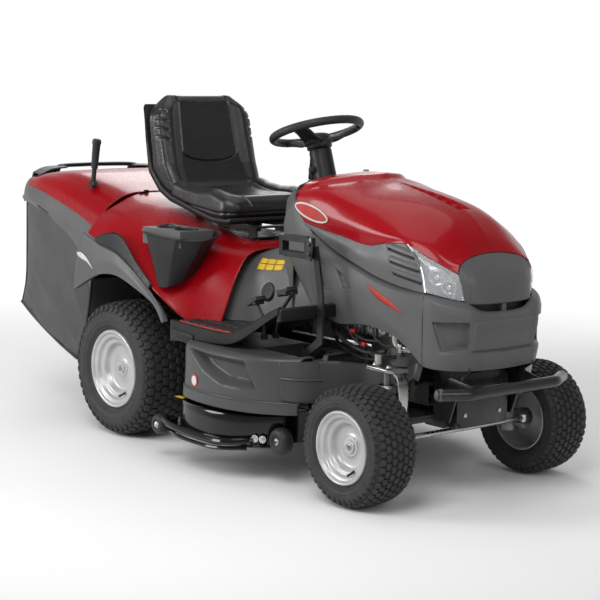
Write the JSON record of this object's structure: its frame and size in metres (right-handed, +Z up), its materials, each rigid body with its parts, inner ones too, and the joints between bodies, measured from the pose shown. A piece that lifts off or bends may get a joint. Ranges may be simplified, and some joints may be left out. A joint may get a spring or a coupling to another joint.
{
  "type": "riding lawn mower",
  "caption": "Ride-on lawn mower with a tilting hood, four driven wheels, a mid-mounted cutting deck and a tipping rear grass catcher.",
  "frame": {"origin": "on the ground under the middle of the machine's length and width", "axes": "+X is the driving direction, +Y the driver's left, +Z up"},
  "size_m": [2.538, 1.16, 1.278],
  "materials": {
    "red_paint": "gloss red paint over moulded panels",
    "grey_plastic": "fine-grained mid-grey moulded plastic",
    "black_plastic": "black moulded plastic",
    "black_steel": "black powder coat",
    "deck_black": "gloss black enamel",
    "silver_paint": "silver-grey wheel enamel",
    "tyre": "turf tyre rubber",
    "cast_aluminium": "cast aluminium",
    "bright_steel": "zinc-plated steel",
    "vinyl": "black vinyl with moulded seams",
    "bag_fabric": "coated grey mesh fabric",
    "lens": "clear lens",
    "rubber": "black rubber"
  },
  "bodies": {
    "chassis": {"chassis_frame": "black_steel", "rear_plate": "black_steel", "front_bracket": "black_steel", "bumper_bar": "black_steel", "transaxle": "cast_aluminium", "grass_tunnel": "black_plastic", "engine": "cast_aluminium", "muffler": "black_steel", "fuel_tank": "black_plastic", "battery": "black_plastic", "dash_panel": "black_plastic", "tunnel_cover": "grey_plastic", "rear_fender": "red_paint", "wheel_arch_trims": "grey_plastic", "cup_holder": "black_plastic", "footplates": "black_plastic", "deck_covers": "grey_plastic", "seat_bracket": "black_steel", "steering_column": "black_plastic"},
    "hood": {"hood_top": "red_paint", "hood_surround": "grey_plastic", "headlight_lenses": "lens", "front_cowl": "grey_plastic"},
    "front_axle": {"front_axle": "cast_aluminium"},
    "knuckle_left": {"knuckle_left": "cast_aluminium"},
    "knuckle_right": {"knuckle_right": "cast_aluminium"},
    "front_wheel_left": {"front_tyre_left": "tyre", "front_rim_left": "silver_paint"},
    "front_wheel_right": {"front_tyre_right": "tyre", "front_rim_right": "silver_paint"},
    "rear_wheel_left": {"rear_tyre_left": "tyre", "rear_rim_left": "silver_paint"},
    "rear_wheel_right": {"rear_tyre_right": "tyre", "rear_rim_right": "silver_paint"},
    "steering_wheel": {"steering_wheel": "black_plastic"},
    "sector_arm": {"sector_arm": "bright_steel"},
    "drag_link": {"drag_link": "bright_steel"},
    "tie_rod": {"tie_rod": "bright_steel"},
    "seat_frame": {"seat_frame": "black_steel"},
    "seat": {"seat_pan": "black_plastic", "seat_cushion": "vinyl"},
    "height_lever": {"height_lever": "black_steel"},
    "forward_pedal": {"forward_pedal": "rubber"},
    "reverse_pedal": {"reverse_pedal": "rubber"},
    "brake_pedal": {"brake_pedal": "rubber"},
    "parking_lever": {"parking_lever": "black_plastic"},
    "throttle_lever": {"throttle_lever": "black_plastic"},
    "ignition_key": {"ignition_key": "black_plastic"},
    "blade_switch": {"blade_switch": "black_plastic"},
    "deck": {"deck_shell": "deck_black", "deck_belt": "rubber"},
    "blade_left": {"blade_left": "bright_steel"},
    "blade_right": {"blade_right": "bright_steel"},
    "front_roller_left": {"front_roller_left": "black_plastic"},
    "front_roller_right": {"front_roller_right": "black_plastic"},
    "rear_roller_left": {"rear_roller_left": "black_plastic"},
    "rear_roller_right": {"rear_roller_right": "black_plastic"},
    "catcher": {"catcher_cover": "red_paint", "catcher_bag": "bag_fabric"},
    "catcher_lever": {"catcher_lever": "black_steel"}
  },
  "joints": [
    {"name": "hood_hinge", "type": "hinge", "parent": "chassis", "child": "hood", "pos_m": [1.188, 0, 0.448], "axis": [0, 1, 0], "range_deg": [0, 65]},
    {"name": "front_axle_pivot", "type": "hinge", "parent": "chassis", "child": "front_axle", "pos_m": [0.969, 0, 0.3], "axis": [1, 0, 0], "range_deg": [-4, 4]},
    {"name": "kingpin_left", "type": "hinge", "parent": "front_axle", "child": "knuckle_left", "pos_m": [0.969, 0.288, 0.3], "axis": [0, 0, 1], "range_deg": [-30, 30]},
    {"name": "kingpin_right", "type": "hinge", "parent": "front_axle", "child": "knuckle_right", "pos_m": [0.969, -0.288, 0.3], "axis": [0, 0, 1], "range_deg": [-31, 31]},
    {"name": "tie_rod_pivot", "type": "hinge", "parent": "knuckle_left", "child": "tie_rod", "pos_m": [1.037, 0.288, 0.214], "axis": [0, 0, 1], "range_deg": [-31, 31]},
    {"name": "drag_link_pivot", "type": "hinge", "parent": "knuckle_right", "child": "drag_link", "pos_m": [0.925, -0.288, 0.456], "axis": [0, 0, 1], "range_deg": [-31, 31]},
    {"name": "sector_turn", "type": "hinge", "parent": "chassis", "child": "sector_arm", "pos_m": [0.684, -0.12, 0.41], "axis": [0, 0, 1], "range_deg": [-31, 31]},
    {"name": "steering_turn", "type": "hinge", "parent": "chassis", "child": "steering_wheel", "pos_m": [0.25705, 0, 1.15734], "axis": [-0.3118, 0, 0.9502], "range_deg": [-186, 186]},
    {"name": "front_wheel_left_spin", "type": "hinge", "parent": "knuckle_left", "child": "front_wheel_left", "pos_m": [0.969, 0.404, 0.197], "axis": [0, 1, 0], "continuous": true},
    {"name": "rear_wheel_left_spin", "type": "hinge", "parent": "chassis", "child": "rear_wheel_left", "pos_m": [-0.335, 0.375, 0.253], "axis": [0, 1, 0], "continuous": true},
    {"name": "front_wheel_right_spin", "type": "hinge", "parent": "knuckle_right", "child": "front_wheel_right", "pos_m": [0.969, -0.404, 0.197], "axis": [0, 1, 0], "continuous": true},
    {"name": "rear_wheel_right_spin", "type": "hinge", "parent": "chassis", "child": "rear_wheel_right", "pos_m": [-0.335, -0.375, 0.253], "axis": [0, 1, 0], "continuous": true},
    {"name": "seat_tilt", "type": "hinge", "parent": "chassis", "child": "seat_frame", "pos_m": [0.052, 0, 0.796], "axis": [0, 1, 0], "range_deg": [0, 40]},
    {"name": "seat_slide", "type": "slide", "parent": "seat_frame", "child": "seat", "axis": [1, 0, 0], "range_m": [-0.06, 0.06]},
    {"name": "deck_lift", "type": "slide", "parent": "chassis", "child": "deck", "axis": [0, 0, 1], "range_m": [-0.07, 0]},
    {"name": "height_lever_turn", "type": "hinge", "parent": "chassis", "child": "height_lever", "pos_m": [0.579, -0.33, 0.417], "axis": [0, 1, 0], "range_deg": [0, 29]},
    {"name": "blade_right_spin", "type": "hinge", "parent": "deck", "child": "blade_right", "pos_m": [0.31, -0.262, 0.16], "axis": [0, 0, 1], "continuous": true},
    {"name": "blade_left_spin", "type": "hinge", "parent": "deck", "child": "blade_left", "pos_m": [0.31, 0.262, 0.16], "axis": [0, 0, 1], "continuous": true},
    {"name": "front_roller_left_spin", "type": "hinge", "parent": "deck", "child": "front_roller_left", "pos_m": [0.64, 0.455, 0.155], "axis": [0, 1, 0], "continuous": true},
    {"name": "rear_roller_left_spin", "type": "hinge", "parent": "deck", "child": "rear_roller_left", "pos_m": [0.085, 0.552, 0.127], "axis": [0, 1, 0], "continuous": true},
    {"name": "front_roller_right_spin", "type": "hinge", "parent": "deck", "child": "front_roller_right", "pos_m": [0.64, -0.455, 0.155], "axis": [0, 1, 0], "continuous": true},
    {"name": "rear_roller_right_spin", "type": "hinge", "parent": "deck", "child": "rear_roller_right", "pos_m": [0.085, -0.552, 0.127], "axis": [0, 1, 0], "continuous": true},
    {"name": "forward_pedal_press", "type": "hinge", "parent": "chassis", "child": "forward_pedal", "pos_m": [0.505, -0.376, 0.486], "axis": [0, 1, 0], "range_deg": [0, 12], "stiffness_Nm_per_rad": 10, "springref_deg": -6.88},
    {"name": "reverse_pedal_press", "type": "hinge", "parent": "chassis", "child": "reverse_pedal", "pos_m": [0.505, -0.425, 0.486], "axis": [0, 1, 0], "range_deg": [0, 12], "stiffness_Nm_per_rad": 10, "springref_deg": -6.88},
    {"name": "brake_pedal_press", "type": "hinge", "parent": "chassis", "child": "brake_pedal", "pos_m": [0.505, 0.395, 0.486], "axis": [0, 1, 0], "range_deg": [0, 12], "stiffness_Nm_per_rad": 10, "springref_deg": -6.88},
    {"name": "parking_lever_pull", "type": "hinge", "parent": "chassis", "child": "parking_lever", "pos_m": [-0.178, 0.33, 0.76], "axis": [0, 1, 0], "range_deg": [0, 22]},
    {"name": "throttle_lever_turn", "type": "hinge", "parent": "chassis", "child": "throttle_lever", "pos_m": [0.37, -0.11, 0.915], "axis": [0, 1, 0], "range_deg": [-14, 14]},
    {"name": "ignition_key_turn", "type": "hinge", "parent": "chassis", "child": "ignition_key", "pos_m": [0.36, 0.15, 0.98], "axis": [0, 0, 1], "range_deg": [0, 80]},
    {"name": "blade_switch_pull", "type": "slide", "parent": "chassis", "child": "blade_switch", "axis": [0, 0, 1], "range_m": [0, 0.012]},
    {"name": "catcher_tilt", "type": "hinge", "parent": "chassis", "child": "catcher", "pos_m": [-0.531, 0, 0.89], "axis": [0, 1, 0], "range_deg": [0, 75]},
    {"name": "catcher_lever_pull", "type": "slide", "parent": "catcher", "child": "catcher_lever", "axis": [0.1544, 0, 0.988], "range_m": [0, 0.18]}
  ],
  "couplings": [
    {"joint": "kingpin_right", "follows": "kingpin_left", "ratio": 1},
    {"joint": "tie_rod_pivot", "follows": "kingpin_left", "ratio": -1},
    {"joint": "drag_link_pivot", "follows": "kingpin_left", "ratio": -1},
    {"joint": "sector_turn", "follows": "kingpin_left", "ratio": 1},
    {"joint": "steering_turn", "follows": "kingpin_left", "ratio": 6},
    {"joint": "height_lever_turn", "follows": "deck_lift", "rad_per_m": -7},
    {"joint": "blade_left_spin", "follows": "blade_right_spin", "ratio": -1}
  ]
}
